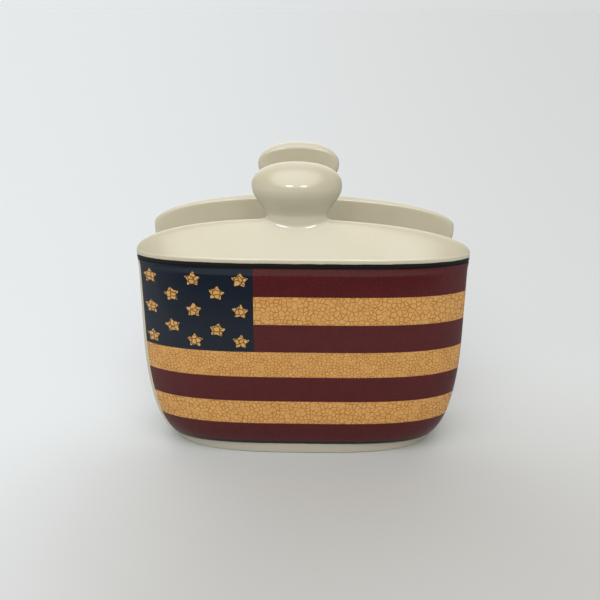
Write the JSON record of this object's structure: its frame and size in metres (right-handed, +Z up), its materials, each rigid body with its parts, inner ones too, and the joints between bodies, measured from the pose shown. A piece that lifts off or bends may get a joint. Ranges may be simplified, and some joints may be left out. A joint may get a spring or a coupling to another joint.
{
  "type": "napkin_holder",
  "caption": "Glazed earthenware napkin holder shaped like a lidded oval canister with an open slot through it and a traditional flag printed on its faces",
  "frame": {"origin": "On the table plane, under the middle of the oval foot", "axes": "+X runs along the slot, +Y runs from the front half to the rear half, +Z is up"},
  "size_m": [0.16, 0.074, 0.1506],
  "materials": {
    "cream_glaze": "glossy cream glaze over cast earthenware",
    "flag_print": "glossy printed transfer in dark red, gold and navy under clear glaze"
  },
  "bodies": {
    "root": {"foot": "cream_glaze", "slot_floor": "cream_glaze", "front_body": "cream_glaze", "front_shoulder": "cream_glaze", "front_knob": "cream_glaze", "front_flag_print": "flag_print", "rear_body": "cream_glaze", "rear_shoulder": "cream_glaze", "rear_knob": "cream_glaze", "rear_flag_print": "flag_print"}
  },
  "joints": []
}
